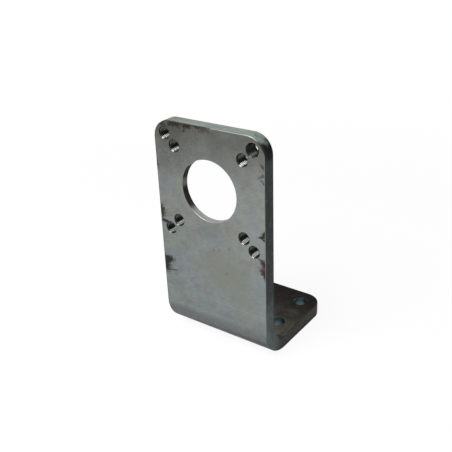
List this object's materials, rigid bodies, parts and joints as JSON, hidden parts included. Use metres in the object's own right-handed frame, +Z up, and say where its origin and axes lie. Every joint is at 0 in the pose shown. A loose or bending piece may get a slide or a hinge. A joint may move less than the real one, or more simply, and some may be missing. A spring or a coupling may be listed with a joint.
{
  "type": "motor mounting bracket",
  "caption": "L-shaped bracket bent from thick steel plate: the upright has a shaft bore ringed by tapped holes, and the foot has bolt holes.",
  "frame": {"origin": "middle of the footprint, on the underside of the foot", "axes": "+Z up along the upright plate, +Y from the front face back along the foot, +X across the width to the right as seen from the front"},
  "size_m": [0.08, 0.075, 0.15],
  "materials": {
    "steel": "bare plate steel, dull grey with faint tints and rust spots; dark scale behind and on the foot"
  },
  "bodies": {
    "root": {"bracket": "steel"}
  },
  "joints": []
}
